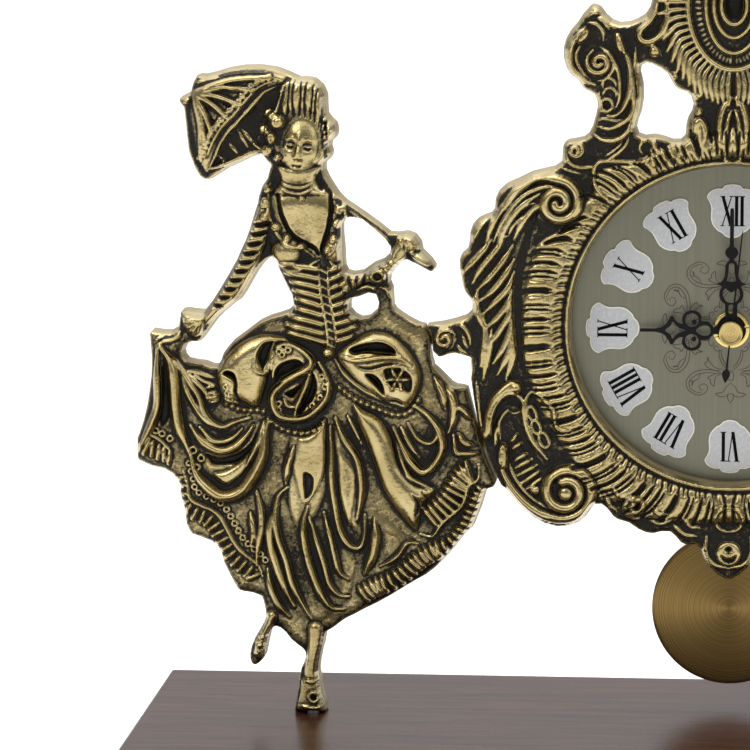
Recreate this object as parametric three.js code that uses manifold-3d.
// A mantel clock: a pierced cast-brass rococo frame held up by two cast-brass figures on a wooden base,
// with a quartz movement, a swinging pendulum, and serpentine hands over a dial of twelve applied numerals.
// Millimetres, +Z up, the clock faces -Y. The origin is the middle of the footprint, on the shelf.
import * as THREE from "three";
import { mergeVertices } from "three/addons/utils/BufferGeometryUtils.js";
import Module from "manifold-3d";

// ---------------------------------------------------------------- driving dimensions
const DIAL_Z = 139.5; // height of the hand arbor above the shelf
const APERTURE_Z = 141.3; // the frame's opening sits a little higher than the arbor
const APERTURE_R = 50.3; // opening of the frame in front of the dial

const PAD_H = 1.5;
const PAD_R = 9;
const BASE = { halfX: 186, halfY: 65, top: 16, chamfer: 1 };
const PAD_INSET = 16;

const CASTING = { front: 0, back: 8 }; // the plate that all the relief stands on
const SHOE = { x: 131.4, y: 0, boreR: 2.3 };
const FOOT_SCREW = { shankR: 2, headR: 4, headH: 2.6, tip: 25 };

const DIAL = { radius: 56.5, front: 8.3, back: 9.1, holeR: 4.3, screwCircle: 53 };
const DIAL_SCREW = { tip: 5.5 };
const WASHER = { outer: 7, inner: 4.3, back: 9.6 };
const CASE = { halfX: 28, low: -33, high: 34, front: 9.6, split: 24.6, back: 26.1, wall: 1.5 };
const BAY = { low: 16.2, high: 31.6, halfX: 26 }; // battery bay, heights from the arbor
const BUSH = { outer: 4, inner: 2.9, front: 5.6 };
const NUT = { outer: 5.8, front: 6.1 };

const HOUR = { length: 28.4, front: 3.4, back: 3.8, pipeR: 2.5, pipeBore: 1.95, pipeFront: 3.2 };
const MINUTE = { length: 38.8, front: 1.0, back: 1.4, pipeR: 1.6, pipeBore: 0.9, pipeFront: 0.1 };
const SECOND = { length: 31.6, tail: 14, front: -1.6, back: -1.3, arborR: 0.5 };
const CAP = { radius: 3.7, front: -4.2, back: -1.8 };
const SECOND_START = -6; // degrees from twelve: the second hand stands one second past it

const PIVOT_Z = DIAL_Z + 12;
const BOB = { radius: 24.7, z: 47, front: 25.5, back: 29.1 };
const SLIP = 0.2; // radial gap between a pipe or arbor and what turns on it

// ---------------------------------------------------------------- solids
const wasm = await Module();
wasm.setup();

function solid(geometry) {
  const bare = geometry.index ? geometry.toNonIndexed() : geometry.clone();
  bare.deleteAttribute("normal");
  bare.deleteAttribute("uv");
  const merged = mergeVertices(bare, 1e-4);
  const make = (tri) =>
    new wasm.Manifold(
      new wasm.Mesh({ numProp: 3, vertProperties: merged.attributes.position.array, triVerts: tri }),
    );
  const tri = new Uint32Array(merged.index.array);
  const made = make(tri);
  if (made.volume() > 0) return made;
  return make(tri.map((v, i) => tri[i % 3 === 1 ? i + 1 : i % 3 === 2 ? i - 1 : i]));
}

function geometryOf(made) {
  const mesh = made.getMesh();
  const places = new Float32Array(mesh.numVert * 3);
  for (let i = 0; i < mesh.numVert; i++) {
    places.set(mesh.vertProperties.subarray(i * mesh.numProp, i * mesh.numProp + 3), i * 3);
  }
  const geometry = new THREE.BufferGeometry();
  geometry.setAttribute("position", new THREE.BufferAttribute(places, 3));
  geometry.setIndex(new THREE.BufferAttribute(new Uint32Array(mesh.triVerts), 1));
  geometry.computeVertexNormals();
  return geometry;
}

const join = (...solids) => solids.reduce((a, b) => a.add(b));
const cut = (body, ...tools) => tools.reduce((a, b) => a.subtract(b), body);

// A closed outline, anticlockwise, without the points that lie in the middle of a straight run.
function corners(points) {
  const kept = points
    .filter(([x, z], i) => {
      const [ax, az] = points.at(i - 1);
      const [bx, bz] = points[(i + 1) % points.length];
      return Math.abs((x - ax) * (bz - az) - (z - az) * (bx - ax)) > 1e-6;
    })
    .map(([x, z]) => new THREE.Vector2(x, z));
  return THREE.ShapeUtils.isClockWise(kept) ? kept.reverse() : kept;
}

// A plate cut from the X-Z plane, from y = front to y = back. Points are [x, z].
function plate(points, front, back, holes = []) {
  const shape = new THREE.Shape(corners(points));
  shape.holes = holes.map((hole) => new THREE.Path(corners(hole)));
  const geometry = new THREE.ExtrudeGeometry(shape, { depth: back - front, bevelEnabled: false, steps: 1 });
  return solid(geometry.rotateX(Math.PI / 2).translate(0, back, 0));
}

function disc(x, z, radius, front, back, segments = 24) {
  const geometry = new THREE.CylinderGeometry(radius, radius, back - front, segments);
  return solid(geometry.translate(x, (front + back) / 2, z));
}

function upright(x, y, radius, low, high, segments = 20) {
  const geometry = new THREE.CylinderGeometry(radius, radius, high - low, segments).rotateX(Math.PI / 2);
  return solid(geometry.translate(x, y, (low + high) / 2));
}

// A ring about the Y axis through (x, z). The profile is a closed list of [radius, y].
function turned(x, z, profile, segments = 32) {
  const closed = [...profile, profile[0]].map(([r, y]) => new THREE.Vector2(r, y));
  return solid(new THREE.LatheGeometry(closed, segments).translate(x, 0, z));
}

const ring = (x, z, inner, outer, front, back, segments) =>
  turned(x, z, [[inner, front], [outer, front], [outer, back], [inner, back]], segments);

function block(x0, x1, y0, y1, z0, z1) {
  const geometry = new THREE.BoxGeometry(x1 - x0, y1 - y0, z1 - z0);
  return solid(geometry.translate((x0 + x1) / 2, (y0 + y1) / 2, (z0 + z1) / 2));
}

function ball(x, y, z, rx, ry, rz) {
  return solid(new THREE.SphereGeometry(1, 12, 8).scale(rx, ry, rz).translate(x, y, z));
}

const turn = (points, degrees, cx = 0, cz = 0) => {
  const a = THREE.MathUtils.degToRad(degrees);
  return points.map(([x, z]) => [
    cx + x * Math.cos(a) - z * Math.sin(a),
    cz + x * Math.sin(a) + z * Math.cos(a),
  ]);
};

const mirrored = (points, side) => points.map(([x, z]) => [side * x, z]);
const circle = (x, z, r, n = 32) => [...Array(n)].map((_, i) => {
  const a = (2 * Math.PI * i) / n;
  return [x + r * Math.cos(a), z + r * Math.sin(a)];
});

// ---------------------------------------------------------------- the group and its finishes
const clock = new THREE.Group();
const finish = (color, roughness, metalness) => new THREE.MeshStandardMaterial({ color, roughness, metalness });
const castBrass = finish(0xb08d3e, 0.35, 1);
const spunBrass = finish(0xc2a35a, 0.3, 1);
const satinDial = finish(0x9c9a8c, 0.4, 0.9);
const whiteEnamel = finish(0xeeeeee, 0.25, 0);
const blackPaint = finish(0x0a0a0a, 0.45, 0.2);
const rosewood = finish(0x4a1f16, 0.35, 0);
const felt = finish(0x1c2a20, 0.95, 0);
const steel = finish(0xa8a8ac, 0.35, 1);
const blackPlastic = finish(0x161616, 0.55, 0);
const whitePlastic = finish(0xe4e2da, 0.5, 0);
const rubber = finish(0x101010, 0.9, 0);
const copper = finish(0xb0623a, 0.35, 1);
const boardGreen = finish(0x1f5a36, 0.5, 0);
const cellJacket = finish(0x2b3f63, 0.4, 0.3);

function add(name, made, material) {
  const mesh = new THREE.Mesh(geometryOf(made), material);
  mesh.name = name;
  clock.add(mesh);
}

// ---------------------------------------------------------------- base
function baseBoard() {
  const { halfX, halfY, top, chamfer } = BASE;
  const outline = [
    [-halfX, -halfY], [halfX, -halfY], [halfX, halfY], [-halfX, halfY],
  ].map(([x, y]) => new THREE.Vector2(x, y));
  const slab = new THREE.ExtrudeGeometry(new THREE.Shape(outline), {
    depth: top - PAD_H - 2 * chamfer,
    bevelEnabled: true,
    bevelThickness: chamfer,
    bevelSize: chamfer,
    bevelOffset: -chamfer,
    bevelSegments: 1,
  }).translate(0, 0, PAD_H + chamfer);
  const bores = [-1, 1].flatMap((side) => [
    upright(side * SHOE.x, SHOE.y, FOOT_SCREW.shankR + 0.3, 0, top + 1),
    upright(side * SHOE.x, SHOE.y, FOOT_SCREW.headR + 0.6, 0, PAD_H + 4),
  ]);
  return cut(solid(slab), ...bores);
}

function footScrew(side) {
  const headLow = PAD_H + 4 - FOOT_SCREW.headH;
  const x = side * SHOE.x;
  const head = upright(x, SHOE.y, FOOT_SCREW.headR, headLow, PAD_H + 4);
  const slot = block(x - 5, x + 5, SHOE.y - 0.5, SHOE.y + 0.5, headLow - 1, headLow + 1);
  return join(cut(head, slot), upright(x, SHOE.y, FOOT_SCREW.shankR, PAD_H + 3.9, FOOT_SCREW.tip));
}

add("base_board", baseBoard(), rosewood);
let padNumber = 0;
for (const sx of [-1, 1]) {
  for (const sy of [-1, 1]) {
    const x = sx * (BASE.halfX - PAD_INSET);
    const y = sy * (BASE.halfY - PAD_INSET);
    add(`base_felt_pad_${++padNumber}`, upright(x, y, PAD_R, 0, PAD_H, 24), felt);
  }
}

// ---------------------------------------------------------------- figures
// Outlines are of the left figure, as [x, z], and the right one is its mirror image.
const FIGURE = {
  outline: [
    [-136.5, 16], [-136.6, 20], [-136, 25], [-135, 30], [-134.5, 33], [-133.3, 36], [-133.4, 37.5],
    [-137.5, 40.5], [-139.5, 43.5], [-142, 44.8], [-144, 44], [-145.5, 41], [-147, 36], [-148.5, 33],
    [-150, 32.4], [-151, 33.8], [-151.1, 36], [-150, 39.5], [-148, 43.5], [-146.8, 46], [-145.8, 49],
    [-146.5, 52], [-147.3, 54], [-151, 55.2], [-154, 56.2], [-156, 58.5], [-158, 62.5], [-159.5, 66],
    [-160.2, 69], [-162, 71], [-165, 72.3], [-169.5, 73.8], [-170.8, 76], [-171.8, 79], [-172.2, 83],
    [-173.4, 87.5], [-173.3, 90.5], [-175.5, 93.3], [-179, 95], [-183, 96], [-187.5, 98.5],
    [-188.2, 101], [-186.3, 105.5], [-184.5, 111], [-183, 118], [-182.3, 125], [-182.2, 132],
    [-182.9, 138.5], [-182.3, 139.3], [-180, 138.8], [-176.5, 138.3], [-174, 139.2], [-173.4, 142],
    [-172.9, 145], [-170.5, 145.8], [-167.5, 145.3], [-165.5, 145.2], [-163, 148.5], [-160, 153],
    [-157, 158], [-154, 163], [-151.5, 169], [-150, 173], [-148.6, 178], [-147.3, 184], [-145.5, 187],
    [-144.4, 190.5], [-147, 194.4], [-152, 193.5], [-158, 190.5], [-162, 188], [-164.5, 186.2],
    [-166, 187], [-168, 190], [-169.5, 194.5], [-170.3, 200], [-171.2, 206], [-171.2, 208.5],
    [-173.2, 211.5], [-172.2, 212.8], [-169, 214], [-168.8, 215.6], [-167, 217], [-166.3, 219.8],
    [-163, 219.8], [-157, 221.6], [-152, 222.2], [-147, 222.5], [-143, 222], [-138.5, 221],
    [-135, 219.3], [-132.5, 218.8], [-129.5, 218], [-127.2, 216], [-126.2, 213], [-126.2, 208],
    [-123.3, 204.5], [-122.8, 202], [-124.8, 199], [-124.5, 194.8], [-127.2, 190.5], [-124, 185],
    [-122, 182], [-116, 177.5], [-111, 174.3], [-107.5, 171], [-103.5, 170.6], [-101, 171],
    [-97, 167.8], [-95.5, 163.8], [-93, 162.3], [-91.9, 160.2], [-93.7, 158.3], [-99.5, 161.6],
    [-103, 161], [-106.5, 157], [-105.5, 152], [-106, 149], [-105, 146.8], [-101, 144], [-98, 142.2],
    [-95.6, 141.6], [-94.2, 139], [-93.7, 136], [-93.7, 132.5], [-93.2, 129.6], [-91.8, 127],
    [-89.7, 125.3], [-87.2, 122.9], [-84.6, 122], [-82.4, 121.6], [-80.8, 119], [-80.2, 115],
    [-79.3, 110], [-78, 105], [-76.3, 100], [-74, 95], [-72.8, 92.3], [-74, 90.3], [-76, 86],
    [-79, 80.5], [-83, 74.5], [-88, 68.5], [-93, 64], [-98, 60.5], [-104, 57], [-110, 53.8],
    [-116, 50.3], [-121, 47.5], [-126.5, 44], [-127.2, 40], [-128.3, 36], [-129.2, 32], [-128.5, 28],
    [-127.5, 23], [-126.6, 19], [-126.4, 16],
  ],
  holes: [
    // between the lowered arm, the waist and the skirt
    [
      [-144, 161.6], [-140.5, 155], [-137.7, 150], [-137.6, 146.5], [-141, 145.2], [-146, 143.8],
      [-152, 140], [-157, 134.5], [-161.5, 128.6], [-166, 129], [-170, 130.2], [-171.4, 132.8],
      [-169.6, 135], [-166.5, 135.2], [-163, 139.5], [-158, 145.5], [-153, 150.5], [-149, 157],
      [-145.8, 161.3],
    ],
    // under the parasol's stick
    [
      [-121.3, 174], [-119, 175.1], [-114, 173.4], [-110, 170.2], [-107, 166.6], [-106.5, 164.5],
      [-107.4, 162.4], [-110, 161], [-114, 159.4], [-119, 158.2], [-120.8, 160.4], [-120.8, 166],
    ],
    // between the sleeve and the hip
    [
      [-119, 147.5], [-118, 149.5], [-115, 150.3], [-112.5, 151.2], [-110.3, 149.8], [-110.3, 147.3],
      [-112, 145.3], [-115, 144], [-117.6, 143.8],
    ],
  ],
  // the block under the standing foot, which takes the foot screw
  shoe: [[-136.4, 16], [-136.3, 22], [-134.5, 28], [-129.6, 28], [-127.6, 22], [-126.6, 16]],
  // raised forms: [outline, how far it stands proud of the plate]
  forms: [
    [[[-171, 207], [-166, 217], [-158, 220], [-146, 220.5], [-139, 217.5], [-146, 214.5], [-152, 209],
      [-157, 203], [-161, 196], [-165, 189.5], [-168, 193]], 3],
    [[[-141, 214], [-136, 217.5], [-131, 216.5], [-128, 212], [-128, 203], [-126, 196], [-130, 190],
      [-143, 192], [-146.5, 199], [-145, 208]], 2.5],
    [[[-148, 180], [-144, 186], [-138, 184], [-130, 183.5], [-124, 181], [-122.5, 172], [-122, 162],
      [-121.5, 150], [-118.5, 142], [-125, 131.5], [-138, 137], [-137, 150], [-143, 161], [-147.5, 163],
      [-150.5, 170]], 3.5],
    [[[-148, 170], [-146, 164], [-151, 156], [-156, 149], [-164, 140], [-168, 137], [-172, 140],
      [-172, 144], [-165, 144], [-160, 152], [-154, 162]], 2.5],
    [[[-143, 136], [-126, 130], [-110, 137], [-101, 134], [-97, 124], [-86, 110], [-82, 98], [-76, 90],
      [-86, 73], [-100, 61], [-114, 53], [-126, 46], [-138, 47], [-145, 52], [-149, 60], [-160, 71],
      [-168, 84], [-172, 96], [-180, 100], [-180, 130], [-172, 124], [-162, 126], [-155, 135]], 2.5],
    [[[-134.5, 38], [-128.5, 40], [-130, 31], [-128, 22], [-135, 22], [-133, 31]], 2],
  ],
  // rounded masses: [x, z, rx, rz, height]
  masses: [
    [-135, 197, 6.8, 10, 6], [-152, 125, 9, 11, 5], [-138, 120, 8, 10, 5.5], [-108, 124, 12, 10, 5],
    [-137, 164, 6, 5, 5.5], [-104, 96, 6, 16, 4.5], [-133, 92, 7, 28, 4.5], [-101, 166, 4, 4, 4],
  ],
};
// A figure's plate laps behind the frame at two tongues, each held by a screw: [x of the screw, z, half height, reach]
const LAPS = [
  { name: "upper", x: 89.5, z: 136.5, half: 3, from: 100, seam: 94.6 },
  { name: "lower", x: 73, z: 105, half: 4, from: 88, seam: 80 },
];
const LAP = { front: 8.3, back: 10.6, boreR: 1.5, screwR: 1.2, headR: 2.4, headBack: 12.2, tip: 4.5 };

// side is -1 for the left figure and 1 for the right one.
function figure(side) {
  const facing = (points) => mirrored(points, -side);
  const body = plate(facing(FIGURE.outline), CASTING.front, CASTING.back, FIGURE.holes.map(facing));
  const forms = FIGURE.forms.map(([outline, proud]) =>
    plate(facing(outline), CASTING.front - proud, CASTING.front + 1));
  const frontHalf = block(-200, 200, -20, CASTING.front + 1, 0, 300);
  const masses = FIGURE.masses.map(([x, z, rx, rz, height]) =>
    ball(-side * x, CASTING.front, z, rx, height, rz).intersect(frontHalf));
  const shoe = plate(facing(FIGURE.shoe), -7, CASTING.back);
  const laps = LAPS.flatMap((lap) => {
    const [outer, inner] = [side * lap.from, side * (lap.x - 3.5)].sort((p, q) => p - q);
    const [low, high] = [lap.z - lap.half, lap.z + lap.half];
    const tongue = block(outer, inner, LAP.front, LAP.back, low, high);
    const [near, far] = [side * lap.from, side * lap.seam].sort((p, q) => p - q);
    const boss = block(near, far, CASTING.back - 1, LAP.back, low, high);
    return [cut(tongue, disc(side * lap.x, lap.z, LAP.boreR, LAP.tip, LAP.back + 1, 16)), boss];
  });
  const all = join(body, ...forms, ...masses, shoe, ...laps);
  return cut(all, upright(side * SHOE.x, SHOE.y, SHOE.boreR, 0, FOOT_SCREW.tip + 0.6));
}

function lapScrew(side, lap) {
  const x = side * lap.x;
  const head = disc(x, lap.z, LAP.headR, LAP.back, LAP.headBack, 14);
  const slot = block(x - 3, x + 3, LAP.headBack - 0.7, LAP.headBack + 1, lap.z - 0.35, lap.z + 0.35);
  return join(cut(head, slot), disc(x, lap.z, LAP.screwR, LAP.tip, LAP.back + 0.1, 10));
}

for (const [label, side] of [["left", -1], ["right", 1]]) {
  add(`${label}_figure`, figure(side), castBrass);
  add(`${label}_foot_screw`, footScrew(side), steel);
  for (const lap of LAPS) {
    add(`${label}_${lap.name}_lap_screw`, lapScrew(side, lap), steel);
  }
}

// ---------------------------------------------------------------- frame
// The left half, from the lowest scroll round to the top of the crest. The right half mirrors it.
const FRAME_HALF = [
  [-2, 62.9], [-4.5, 65.5], [-7, 68.5], [-8.6, 71], [-10, 72.8], [-13.5, 72.8], [-15.5, 74.3],
  [-17.5, 76.5], [-20, 76.9], [-23, 76], [-25.5, 76.2], [-28.5, 77.5], [-31.5, 79.7], [-35.8, 80.9],
  [-37.5, 83], [-39.3, 85], [-42, 84.8], [-43.8, 82.5], [-45.5, 80.5], [-48.5, 78.7], [-52, 77.9],
  [-56, 78], [-60.5, 79.6], [-64.5, 82.5], [-68, 86.5], [-71, 90.5], [-73.5, 95], [-75.8, 100],
  [-77.5, 105], [-78.8, 110], [-79.7, 115], [-80.3, 120], [-81.2, 125], [-82.4, 127.5], [-84, 129.5],
  [-87, 130.9], [-90, 131.5], [-92.3, 131.6], [-93.3, 133], [-93.3, 137], [-93.8, 139.2],
  [-95, 141.5], [-88, 143.5], [-84.5, 145], [-82, 147.3], [-81.7, 149.5], [-83.8, 152], [-84.3, 156],
  [-85, 159], [-85.2, 163], [-83, 165.5], [-81.8, 168], [-81.5, 171.5], [-79.5, 174.5], [-77, 176],
  [-74.5, 176.8], [-74, 179.5], [-73.3, 182.3], [-70, 185.5], [-66, 188.3], [-62, 190], [-57, 191.2],
  [-53, 194], [-53, 197.5], [-51.5, 199.8], [-49, 200.3], [-46, 201], [-44, 203.3], [-43.2, 206.5],
  [-42, 212.5], [-46, 215], [-48, 218.3], [-50.5, 219.3], [-52, 222], [-52.8, 226], [-52.3, 230],
  [-50.5, 233.5], [-47.8, 236.5], [-46, 239], [-44.5, 241.3], [-42.5, 242], [-39.5, 239],
  [-37, 236.8], [-34.5, 236], [-31, 236.5], [-28, 238], [-26, 240], [-25, 244], [-25.5, 249],
  [-24, 254], [-20.5, 257], [-17, 258], [-14.5, 261], [-10.5, 263.5], [-7, 265], [-4.5, 268.5],
  [-1.5, 271.5],
];
const CREST_HOLE = [
  [-28.5, 222.5], [-27, 223.7], [-25, 223.2], [-22, 221.8], [-20, 220], [-19, 217.5], [-17, 215.6],
  [-15, 215.2], [-13.2, 213.3], [-12.5, 210.5], [-13, 208], [-14.3, 205.5], [-14.4, 202.5],
  [-15, 200.6], [-17, 199.8], [-20, 200.2], [-23, 201.4], [-27, 201.5], [-29.3, 203],
  [-29.2, 205.5], [-28, 208.5], [-27.6, 213], [-27.8, 217],
];
// Scroll eyes that stand proud: [x, z, radius, height]
const VOLUTES = [
  [-51.5, 88, 9, 5.5], [-55, 180, 8, 5.5], [-42, 224, 7.5, 4], [-49, 196, 3.5, 3.5], [-30, 83.5, 4, 4],
  [-90, 136, 3, 3], [-68, 118, 5, 4],
];
const DIAL_SCREW_ANGLES = [90, 210, 330];

function oval(cx, cz, rx, rz, n = 20) {
  return circle(0, 0, 1, n).map(([x, z]) => [cx + x * rx, cz + z * rz]);
}

function frameCasting() {
  const right = mirrored(FRAME_HALF, -1).reverse();
  const body = plate([...FRAME_HALF, ...right], CASTING.front, CASTING.back, [
    circle(0, APERTURE_Z, APERTURE_R, 48),
    CREST_HOLE,
    mirrored(CREST_HOLE, -1),
  ]);
  const bead = turned(0, APERTURE_Z, [
    [APERTURE_R, CASTING.front + 1], [APERTURE_R, -1.5], [APERTURE_R + 2, -2.2], [APERTURE_R + 6, -3.5],
    [APERTURE_R + 13, -2.5], [APERTURE_R + 15, CASTING.front + 1],
  ], 48);
  const eyes = [-1, 1].flatMap((side) => VOLUTES.map(([x, z, radius, height]) =>
    disc(side * x, z, radius, -height, CASTING.front + 1, 12)));
  const cartouche = plate(oval(0, 241, 15.5, 19), -3.5, 1, [oval(0, 241, 9.5, 13)]);
  const boss = ball(0, 0, 241, 6, 5, 9).intersect(block(-30, 30, -20, CASTING.front + 1, 200, 280));
  const drop = disc(0, 69, 6, -4, CASTING.front + 1, 20);
  const bores = [-1, 1].flatMap((side) => LAPS.map((lap) =>
    disc(side * lap.x, lap.z, LAP.boreR, LAP.tip - 0.5, CASTING.back + 1, 16)));
  const dialBores = DIAL_SCREW_ANGLES.map((angle) => {
    const [[x, z]] = turn([[DIAL.screwCircle, 0]], angle, 0, APERTURE_Z);
    return disc(x, z, 1.2, DIAL_SCREW.tip - 0.5, CASTING.back + 1, 16);
  });
  return cut(join(body, bead, ...eyes, cartouche, boss, drop), ...bores, ...dialBores);
}

add("frame_casting", frameCasting(), castBrass);

// ---------------------------------------------------------------- dial
function dialPlate() {
  const holes = DIAL_SCREW_ANGLES.map((angle) => {
    const [[x, z]] = turn([[DIAL.screwCircle, 0]], angle, 0, APERTURE_Z);
    return disc(x, z, 1.2, DIAL.front - 1, DIAL.back + 1, 16);
  });
  return cut(ring(0, DIAL_Z, DIAL.holeR, DIAL.radius, DIAL.front, DIAL.back, 48), ...holes);
}

function dialScrew(angle) {
  const [[x, z]] = turn([[DIAL.screwCircle, 0]], angle, 0, APERTURE_Z);
  const head = disc(x, z, 2, DIAL.back, DIAL.back + 1.2, 16);
  return join(head, disc(x, z, 0.9, DIAL_SCREW.tip, DIAL.back + 0.1, 12));
}

// Half of a numeral plate: [across, outwards] from its middle, from the outer tip to the inner one.
const NUMERAL_PLATE_HALF = [
  [0, 8.9], [2.6, 8.0], [4.0, 7.1], [6.4, 6.7], [8.3, 5.0], [8.1, 3.2], [6.8, 1.6], [6.4, -1.4],
  [6.0, -3.9], [4.4, -5.2], [3.1, -5.7], [1.9, -7.6], [0, -8.3],
];
const NUMERAL_PLATE = { circle: 37.3, thick: 0.8, size: 1.04 };

function numeralPlate(hour) {
  const other = NUMERAL_PLATE_HALF.slice(1, -1).map(([x, z]) => [-x, z]).reverse();
  const outline = [...NUMERAL_PLATE_HALF, ...other].map(([x, z]) => [
    x * NUMERAL_PLATE.size, z * NUMERAL_PLATE.size + NUMERAL_PLATE.circle,
  ]);
  return plate(turn(outline, -30 * hour, 0, DIAL_Z), DIAL.front - NUMERAL_PLATE.thick, DIAL.front);
}

add("dial_plate", dialPlate(), satinDial);
DIAL_SCREW_ANGLES.forEach((angle, i) => add(`dial_screw_${i + 1}`, dialScrew(angle), steel));
for (let hour = 1; hour <= 12; hour++) {
  add(`numeral_plate_${String(hour).padStart(2, "0")}`, numeralPlate(hour), whiteEnamel);
}
add("dial_nut", turned(0, DIAL_Z, [
  [BUSH.outer + SLIP, NUT.front], [NUT.outer - 0.7, NUT.front], [NUT.outer, NUT.front + 0.7],
  [NUT.outer, DIAL.front], [BUSH.outer + SLIP, DIAL.front],
], 32), spunBrass);

// ---------------------------------------------------------------- hands
// Outlines point up (+Z) from the arbor and are turned into place. Half widths are mirrored.
const bothSides = (half) => [...half, ...half.slice().reverse().map(([x, z]) => [-x, z])];

function hourHand() {
  const blade = bothSides([
    [0, -4.4], [3.2, -3.6], [4.4, 0], [3, 4], [1.3, 5.2], [1.3, 6.4], [2.6, 7.6], [2.6, 10.6],
    [5.4, 10.2], [7.6, 12.8], [6.9, 15.4], [4.2, 16.4], [3.4, 16.6], [4.9, 18.8], [1.6, 21.4],
    [0.75, 24], [0.75, HOUR.length - 0.3], [0, HOUR.length],
  ].slice(1));
  const windows = [
    circle(4.4, 13.2, 2, 16), circle(-4.4, 13.2, 2, 16),
    [[0, 12.4], [1.5, 9.4], [1.3, 8], [-1.3, 8], [-1.5, 9.4]],
    [[0, 16], [2.6, 18.6], [0, 21.2], [-2.6, 18.6]],
    circle(0, 0, HOUR.pipeR + SLIP, 24),
  ];
  return plate(turn(blade, 90, 0, DIAL_Z), HOUR.front, HOUR.back, windows.map((w) => turn(w, 90, 0, DIAL_Z)));
}

function minuteHand() {
  const blade = bothSides([
    [2.2, -2.4], [3, 0], [2.2, 2.4], [1.6, 6.6], [3.4, 8.6], [4, 11], [3.4, 13.4], [3.4, 14.4],
    [5, 15.8], [2.9, 17.4], [2.1, 21.6], [1.2, 23.4], [2.1, 25.4], [0.9, 27.2], [0.7, 30],
    [0.65, MINUTE.length - 0.3], [0, MINUTE.length],
  ]);
  const windows = [
    circle(0, 11, 2.5, 16),
    [[-1.6, 16.6], [1.6, 16.6], [1, 21.4], [-1, 21.4]],
    [[-0.6, 4], [0.6, 4], [0.8, 6.8], [-0.8, 6.8]],
    circle(0, 0, MINUTE.pipeR + SLIP, 20),
  ];
  return plate(blade.map(([x, z]) => [x, z + DIAL_Z]), MINUTE.front, MINUTE.back,
    windows.map((w) => w.map(([x, z]) => [x, z + DIAL_Z])));
}

function secondHand() {
  const blade = bothSides([
    [0.25, -SECOND.tail], [1.7, -SECOND.tail + 3.2], [0.45, -SECOND.tail + 5.4], [0.45, -1.6],
    [1.7, 0], [0.45, 1.6], [0.3, SECOND.length],
  ]);
  const arm = plate(turn(blade, SECOND_START, 0, DIAL_Z), SECOND.front, SECOND.back,
    [circle(0, DIAL_Z, SECOND.arborR + SLIP, 16)]);
  return join(arm, ring(0, DIAL_Z, SECOND.arborR + SLIP, 1.4, SECOND.front, SECOND.back + 0.8, 16));
}

add("hour_hand", hourHand(), blackPaint);
add("minute_hand", minuteHand(), blackPaint);
add("minute_hand_nut", ring(0, DIAL_Z, MINUTE.pipeR + SLIP, 2.6, MINUTE.front - 0.8, MINUTE.front, 16), spunBrass);
add("second_hand", secondHand(), blackPaint);
add("second_hand_cap", cut(
  turned(0, DIAL_Z, [
    [0, CAP.front], [CAP.radius - 0.5, CAP.front], [CAP.radius, CAP.front + 0.5],
    [CAP.radius, CAP.back], [0, CAP.back],
  ], 32),
  disc(0, DIAL_Z, SECOND.arborR + SLIP, CAP.front + 1, 0, 16),
), spunBrass);

// ---------------------------------------------------------------- gear train
// Tooth counts. The rotor makes half a turn a second and the seconds wheel one turn a minute.
const TEETH = {
  rotor: 6, intermediate: 45, intermediatePinion: 6, seconds: 24,
  secondsPinion: 6, third: 48, thirdPinion: 6, minute: 45,
  cannon: 8, motion: 24, motionPinion: 8, hour: 32, setting: 8,
};
// Where the arbors stand, from the hand arbor, as [x, z].
const away = (distance, degrees, from = [0, 0]) => turn([[distance, 0]], degrees, ...from)[0];
const ARBOR = { centre: [0, 0], third: away(12.6, -60), intermediate: away(12.6, -130), motion: away(9.6, 180) };
ARBOR.rotor = away(11.9, -120, ARBOR.intermediate);
ARBOR.setting = away(9.6, 180, ARBOR.motion);
// Layers behind the dial, as [front, back].
const LAYER = {
  hour: [12, 13.2], motion: [14, 15.2], minute: [16, 17.2], third: [18, 19.2],
  seconds: [20, 21.2], rotor: [22, 23.2],
};
const ARBOR_R = 0.4;
const PIVOT_BORE = 0.65;

const gap = (a, b) => Math.hypot(a[0] - b[0], a[1] - b[1]);
const heading = (a, b) => Math.atan2(b[1] - a[1], b[0] - a[0]);

// Teeth are pointed, with backlash. phase is the angle of one tooth's middle, in radians.
function gearOutline(centre, teeth, module, phase) {
  const pitch = (module * teeth) / 2;
  const root = pitch - 1.25 * module;
  const tip = pitch + 0.75 * module;
  const step = (2 * Math.PI) / teeth;
  const points = [];
  for (let i = 0; i < teeth; i++) {
    for (const [share, radius] of [[-0.3, root], [0, tip], [0.3, root]]) {
      const angle = phase + (i + share) * step;
      points.push([centre[0] + radius * Math.cos(angle), DIAL_Z + centre[1] + radius * Math.sin(angle)]);
    }
  }
  return points;
}

// Two gears in mesh: the driver has a tooth on the line of centres and the other a space.
function pair(a, teethA, b, teethB) {
  const module = (2 * gap(a, b)) / (teethA + teethB);
  const line = heading(a, b);
  return [
    (layer) => plate(gearOutline(a, teethA, module, line), ...layer),
    (layer) => plate(gearOutline(b, teethB, module, line + Math.PI + Math.PI / teethB), ...layer),
  ];
}

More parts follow.
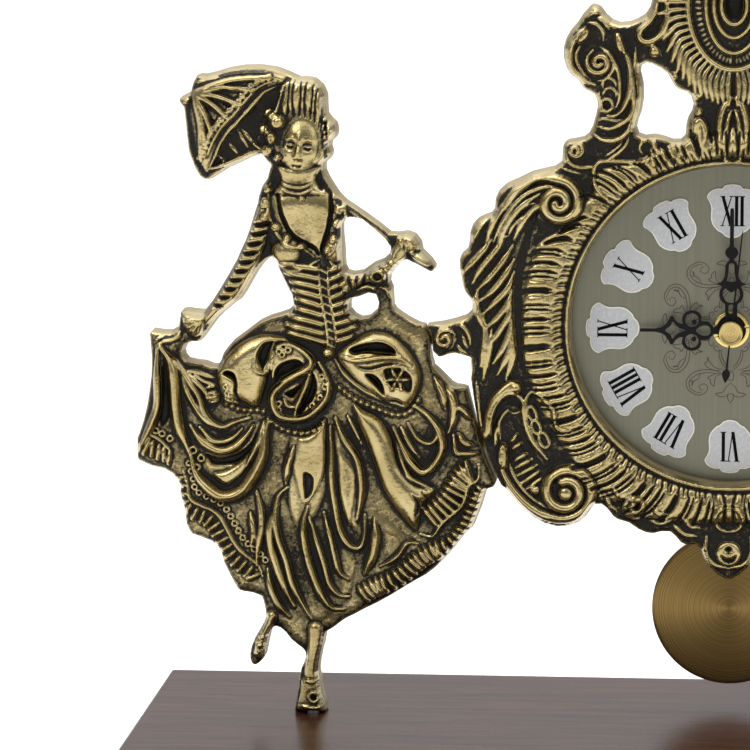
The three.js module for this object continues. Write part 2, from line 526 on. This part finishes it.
const T = TEETH;
const [rotorPinion, intermediateWheel] = pair(ARBOR.rotor, T.rotor, ARBOR.intermediate, T.intermediate);
const [intermediatePinion, secondsWheel] = pair(ARBOR.intermediate, T.intermediatePinion, ARBOR.centre, T.seconds);
const [secondsPinion, thirdWheel] = pair(ARBOR.centre, T.secondsPinion, ARBOR.third, T.third);
const [thirdPinion, minuteWheel] = pair(ARBOR.third, T.thirdPinion, ARBOR.centre, T.minute);
const [motionWheel, cannonPinion] = pair(ARBOR.motion, T.motion, ARBOR.centre, T.cannon);
const [motionPinion, hourWheel] = pair(ARBOR.motion, T.motionPinion, ARBOR.centre, T.hour);
const settingPinion = (layer) => {
  const module = (2 * gap(ARBOR.motion, ARBOR.setting)) / (T.motion + T.setting);
  // The motion wheel's teeth sit on the line to the centre; step round them to the line to the setting pinion.
  const onWheel = heading(ARBOR.motion, ARBOR.centre);
  const line = heading(ARBOR.motion, ARBOR.setting);
  const offset = ((line - onWheel) * T.motion) / (2 * Math.PI);
  const slip = (offset - Math.round(offset)) * ((2 * Math.PI) / T.setting);
  return plate(gearOutline(ARBOR.setting, T.setting, module, line + Math.PI + Math.PI / T.setting + slip), ...layer);
};

const spindle = (at, front, back, radius = ARBOR_R) => disc(at[0], DIAL_Z + at[1], radius, front, back, 12);
const pipeBore = (radius, front, back) => disc(0, DIAL_Z, radius, front, back, 24);
const ARBOR_FRONT = CASE.front + 0.7;
const ARBOR_BACK = CASE.split + 0.8;

add("hour_wheel", cut(
  join(hourWheel(LAYER.hour), disc(0, DIAL_Z, HOUR.pipeR, HOUR.pipeFront, LAYER.hour[1], 24)),
  pipeBore(HOUR.pipeBore, HOUR.pipeFront - 1, LAYER.hour[1] + 1),
), whitePlastic);
add("cannon_pinion", cut(
  join(cannonPinion(LAYER.motion), disc(0, DIAL_Z, MINUTE.pipeR, MINUTE.pipeFront, LAYER.minute[1] + 0.5, 24)),
  pipeBore(MINUTE.pipeBore, MINUTE.pipeFront - 1, LAYER.third[0]),
), whitePlastic);
add("minute_wheel", cut(minuteWheel(LAYER.minute), pipeBore(MINUTE.pipeR + SLIP, LAYER.motion[0], LAYER.third[1])), whitePlastic);
add("seconds_wheel", join(
  secondsWheel(LAYER.seconds),
  secondsPinion([LAYER.third[0] - 0.1, LAYER.seconds[0] + 0.1]),
  spindle(ARBOR.centre, CAP.front + 1.4, ARBOR_BACK, SECOND.arborR),
), whitePlastic);
add("third_wheel", join(
  thirdWheel(LAYER.third),
  thirdPinion([LAYER.minute[0] - 0.1, LAYER.third[0] + 0.1]),
  spindle(ARBOR.third, ARBOR_FRONT, ARBOR_BACK),
), whitePlastic);
add("intermediate_wheel", join(
  intermediateWheel(LAYER.rotor),
  intermediatePinion([LAYER.seconds[0] - 0.1, LAYER.rotor[0] + 0.1]),
  spindle(ARBOR.intermediate, ARBOR_FRONT, ARBOR_BACK),
), whitePlastic);
add("motion_wheel", join(
  motionWheel(LAYER.motion),
  motionPinion([LAYER.hour[0] - 0.1, LAYER.motion[0] + 0.1]),
  spindle(ARBOR.motion, ARBOR_FRONT, LAYER.minute[0] - 0.4),
), whitePlastic);
const ROTOR_MAGNET = { radius: 3, front: 16.6, back: 20.6 };
add("stepper_rotor", join(
  disc(ARBOR.rotor[0], DIAL_Z + ARBOR.rotor[1], ROTOR_MAGNET.radius, ROTOR_MAGNET.front, ROTOR_MAGNET.back, 20),
  rotorPinion([ROTOR_MAGNET.back - 0.1, LAYER.rotor[1]]),
  spindle(ARBOR.rotor, ARBOR_FRONT, ARBOR_BACK),
), steel);
const KNOB = { radius: 5, front: 26.7, back: 30.5, shaftR: 1.5, flutes: 16 };
const knobRim = [...Array(2 * KNOB.flutes)].map((_, i) => {
  const a = (Math.PI * i) / KNOB.flutes;
  const r = KNOB.radius - (i % 2) * 0.5;
  return [ARBOR.setting[0] + r * Math.cos(a), DIAL_Z + ARBOR.setting[1] + r * Math.sin(a)];
});
add("setting_knob", join(
  plate(knobRim, KNOB.front, KNOB.back),
  settingPinion(LAYER.motion),
  spindle(ARBOR.setting, ARBOR_FRONT, LAYER.motion[0] + 0.1),
  spindle(ARBOR.setting, LAYER.motion[1] - 0.1, KNOB.front + 0.1, KNOB.shaftR),
), whitePlastic);

// ---------------------------------------------------------------- movement case, motor and battery
const TRAIN_ARBORS = [ARBOR.third, ARBOR.intermediate, ARBOR.rotor];
const inCase = (x0, x1, y0, y1, z0, z1) => block(x0, x1, y0, y1, DIAL_Z + z0, DIAL_Z + z1);

function caseFront() {
  const { halfX, low, high, front, split, wall } = CASE;
  const shell = cut(
    inCase(-halfX, halfX, front, split, low, high),
    inCase(-halfX + wall, halfX - wall, front + wall, split + 1, low + wall, BAY.low - 1),
    inCase(-halfX + wall, halfX - wall, front + wall, split + 1, BAY.low, high - wall),
  );
  const bush = disc(0, DIAL_Z, BUSH.outer, BUSH.front, front + 0.1, 32);
  const pivots = [...TRAIN_ARBORS, ARBOR.motion, ARBOR.setting].map((at) =>
    spindle(at, front + 0.5, front + 5, PIVOT_BORE));
  return cut(join(shell, bush), pipeBore(BUSH.inner, BUSH.front - 1, front + 3), ...pivots);
}

function caseBack() {
  const { halfX, low, high, split, back } = CASE;
  const lid = inCase(-halfX, halfX, split, back, low, high);
  const window = inCase(-BAY.halfX, BAY.halfX, split - 1, back + 1, BAY.low + 0.1, BAY.high);
  const pivots = [...TRAIN_ARBORS, ARBOR.centre].map((at) => spindle(at, split - 1, split + 1, PIVOT_BORE));
  const knobHole = spindle(ARBOR.setting, split - 1, back + 1, KNOB.shaftR + SLIP);
  const pendulumPin = disc(0, PIVOT_Z, 1.1, split + 0.5, back + 1, 16);
  return cut(lid, window, ...pivots, knobHole, pendulumPin);
}

add("case_front", caseFront(), blackPlastic);
add("case_back", caseBack(), blackPlastic);
add("mounting_washer", ring(0, DIAL_Z, WASHER.inner, WASHER.outer, DIAL.back, WASHER.back, 28), rubber);

const CELL = { radius: 7.1, y: 18.6, z: DIAL_Z + 23.9, left: -24.4, right: 24, nubR: 2.6, nub: 1.2 };
const alongX = (x0, x1, y, z, radius, segments = 28) =>
  solid(new THREE.CylinderGeometry(radius, radius, x1 - x0, segments).rotateZ(Math.PI / 2)
    .translate((x0 + x1) / 2, y, z));
add("battery_cell", join(
  alongX(CELL.left, CELL.right, CELL.y, CELL.z, CELL.radius),
  alongX(CELL.right - 0.1, CELL.right + CELL.nub, CELL.y, CELL.z, CELL.nubR, 16),
), cellJacket);
add("battery_contact_positive", inCase(25.6, 26.2, 13, 24, 19, 29), steel);
// The negative spring: a flat coil of square wire, as a stepped cone against the end wall.
add("battery_contact_negative", join(
  inCase(-26.3, -25.8, 13, 24, 19, 29),
  alongX(-25.9, -25.3, CELL.y, CELL.z, 3.4, 16),
  alongX(-25.4, -24.7, CELL.y, CELL.z, 2.2, 16),
), steel);

const [rotorX, rotorZ] = ARBOR.rotor;
const COIL_Y = 15.4;
add("stator", cut(
  inCase(rotorX - 7, rotorX + 6.5, 17.8, 18.8, rotorZ - 9.5, rotorZ + 5.5),
  disc(rotorX, DIAL_Z + rotorZ, ROTOR_MAGNET.radius + 0.5, 14, 22, 24),
  inCase(rotorX - 3.5, rotorX + 3.5, 17, 20, rotorZ - 6.2, rotorZ - 4.6),
), steel);
add("drive_coil", join(
  alongX(rotorX - 5, rotorX + 5, COIL_Y, DIAL_Z + rotorZ - 7.8, 2.2, 20),
  alongX(rotorX - 6, rotorX - 4.9, COIL_Y, DIAL_Z + rotorZ - 7.8, 2.3, 12),
  alongX(rotorX + 4.9, rotorX + 6, COIL_Y, DIAL_Z + rotorZ - 7.8, 2.3, 12),
), copper);
add("circuit_board", join(
  inCase(13.5, 26, 11.4, 12.4, -30, 4),
  inCase(16, 22, 12.3, 14, -27, -24.5),
  disc(20, DIAL_Z - 8, 3, 12.3, 13.4, 20),
), boardGreen);
add("pendulum_coil", ring(0, DIAL_Z - 27, 1.5, 3.9, 17.5, 23.6, 20), copper);

// ---------------------------------------------------------------- pendulum
const HANGER = { front: 27.2, back: 29.2, halfWidth: 2.6, low: DIAL_Z - 34 };
add("pendulum_pivot", join(
  disc(0, PIVOT_Z, 0.9, CASE.split + 0.7, HANGER.back + 0.8, 16),
  disc(0, PIVOT_Z, 1.7, HANGER.back + 0.3, HANGER.back + 1.1, 16),
), steel);
add("pendulum_hanger", cut(
  join(
    plate([
      [-HANGER.halfWidth, HANGER.low], [HANGER.halfWidth, HANGER.low], [HANGER.halfWidth, PIVOT_Z],
      ...circle(0, PIVOT_Z, 3.4, 24).filter(([, z]) => z > PIVOT_Z + 1), [-HANGER.halfWidth, PIVOT_Z],
    ], HANGER.front, HANGER.back),
    disc(0, DIAL_Z - 27, 4, HANGER.front - 0.8, HANGER.back, 24),
  ),
  disc(0, PIVOT_Z, 0.9 + SLIP, HANGER.front - 1, HANGER.back + 1, 16),
), whitePlastic);
const ROD = { front: 29.4, back: 30.2, halfWidth: 1.6 };
add("pendulum_rod", join(
  plate([
    [-ROD.halfWidth, BOB.z - 6], [ROD.halfWidth, BOB.z - 6], [ROD.halfWidth, DIAL_Z - 14], [-ROD.halfWidth, DIAL_Z - 14],
  ], ROD.front, ROD.back),
  disc(0, DIAL_Z - 14, 3, ROD.front, ROD.back, 20),
), spunBrass);
add("pendulum_bob", turned(0, BOB.z, [
  [0, BOB.front], [BOB.radius - 10, BOB.front + 0.25], [BOB.radius - 1.2, BOB.front + 1.1],
  [BOB.radius, BOB.front + 2], [BOB.radius, BOB.back - 0.6], [BOB.radius - 0.8, BOB.back], [0, BOB.back],
], 40), spunBrass);

export default clock;
